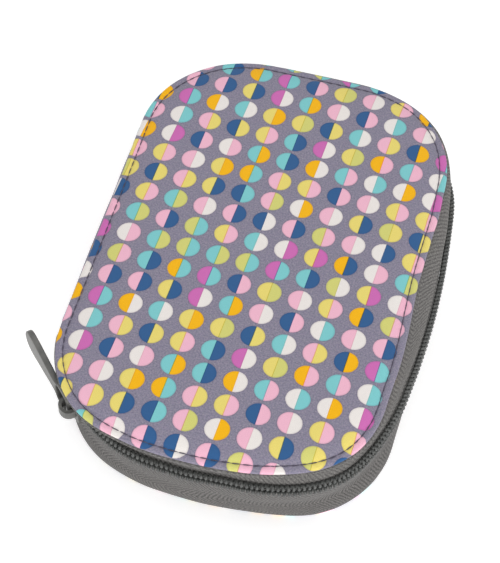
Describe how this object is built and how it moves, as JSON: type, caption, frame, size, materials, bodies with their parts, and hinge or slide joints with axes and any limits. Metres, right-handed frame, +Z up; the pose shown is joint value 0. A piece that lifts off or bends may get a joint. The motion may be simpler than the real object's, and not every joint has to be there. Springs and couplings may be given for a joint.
{
  "type": "zip-up bobbin case",
  "caption": "Zip-up fabric case with rounded corners, a fabric spine hinge on one long side and slotted foam that stands sewing bobbins on their rims.",
  "frame": {"origin": "centre of the base panel's flat underside", "axes": "+Z up out of the closed lid, +Y along the case's long sides, +X from the spine toward the zip side; the slider stops at the front (-Y) end of the spine side"},
  "size_m": [0.1205, 0.1592, 0.0292],
  "materials": {
    "printed_cotton": "plain-weave printed cotton, matt",
    "stitch_thread": "twisted polyester thread",
    "stiffener_board": "foamed board",
    "lining_fabric": "matt lining cloth",
    "wadding": "needled wadding",
    "zip_tape": "herringbone zip tape",
    "nylon_coil": "nylon monofilament, satin",
    "slotted_foam": "closed-cell foam, matt",
    "slider_metal": "dark grey painted zinc, satin"
  },
  "bodies": {
    "base": {"base_cover_panel": "printed_cotton", "base_edge_stitching": "stitch_thread", "base_stiffener_board": "stiffener_board", "base_lining": "lining_fabric", "base_gusset_tape": "zip_tape", "base_seam_binding": "lining_fabric", "base_zip_coil": "nylon_coil", "foam_block_left": "slotted_foam", "foam_block_middle": "slotted_foam", "foam_block_right": "slotted_foam"},
    "spine": {"spine_cover": "printed_cotton", "spine_lining": "lining_fabric"},
    "lid": {"lid_cover_panel": "printed_cotton", "lid_edge_stitching": "stitch_thread", "lid_padding": "wadding", "lid_stiffener_board": "stiffener_board", "lid_lining": "lining_fabric", "lid_gusset_tape": "zip_tape", "lid_seam_binding": "lining_fabric", "lid_zip_coil": "nylon_coil"},
    "slider": {"slider_front_wing": "slider_metal", "slider_back_wing": "slider_metal"},
    "pull": {"zip_pull": "slider_metal"}
  },
  "joints": [
    {"name": "spine_hinge", "type": "hinge", "parent": "base", "child": "spine", "pos_m": [-0.0563, 0, 0.0023], "axis": [0, -1, 0], "range_deg": [0, 90]},
    {"name": "lid_hinge", "type": "hinge", "parent": "spine", "child": "lid", "pos_m": [-0.0563, 0, 0.027], "axis": [0, -1, 0], "range_deg": [0, 90]},
    {"name": "slider_travel", "type": "hinge", "parent": "base", "child": "slider", "pos_m": [-0.0121, -0.0368, 0.0205], "axis": [0, 0, 1], "range_deg": [0, 38]},
    {"name": "pull_swing", "type": "hinge", "parent": "slider", "child": "pull", "pos_m": [-0.04487, -0.068, 0.0205], "axis": [0, 0, 1], "range_deg": [0, 160]}
  ],
  "couplings": [
    {"joint": "spine_hinge", "follows": "lid_hinge", "ratio": 1}
  ]
}
